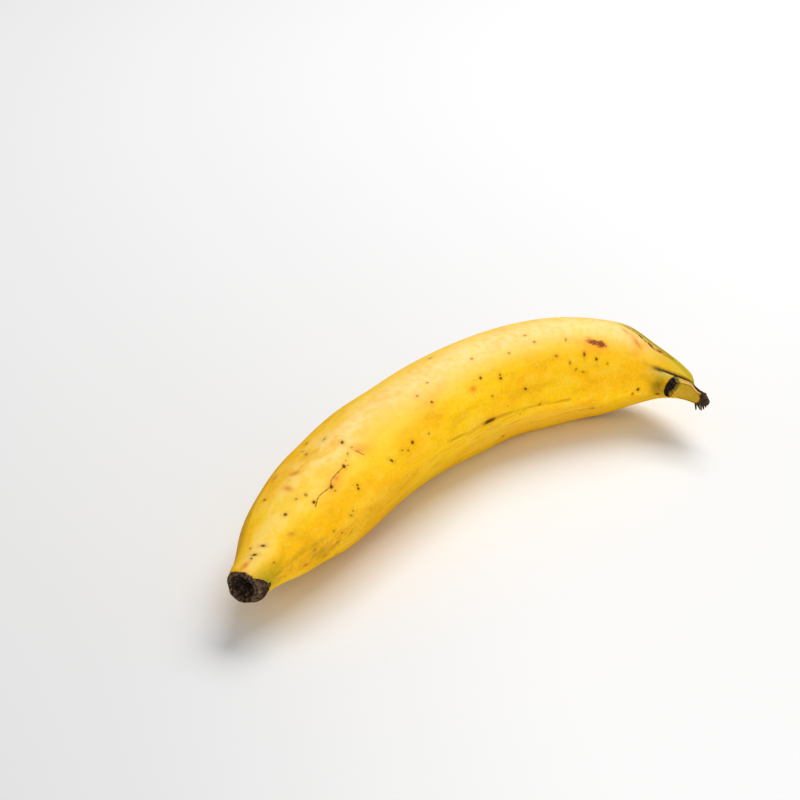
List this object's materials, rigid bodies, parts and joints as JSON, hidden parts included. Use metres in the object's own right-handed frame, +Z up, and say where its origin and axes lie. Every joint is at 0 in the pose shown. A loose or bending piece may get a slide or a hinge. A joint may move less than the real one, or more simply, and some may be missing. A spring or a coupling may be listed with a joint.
{
  "type": "plantain",
  "caption": "Whole ripe plantain lying on its side: a long curved fruit with softly ridged yellow peel, a dark blossom tip and a slant-cut stem neck.",
  "frame": {"origin": "under the middle of the fruit's box, on the surface that it lies on", "axes": "+X along the chord from the blossom tip to the stem, +Z up, the inside of the curve faces -Y"},
  "size_m": [0.256, 0.0944, 0.047],
  "materials": {
    "peel": "satin, waxy fruit peel"
  },
  "bodies": {
    "root": {"plantain": "peel"}
  },
  "joints": []
}
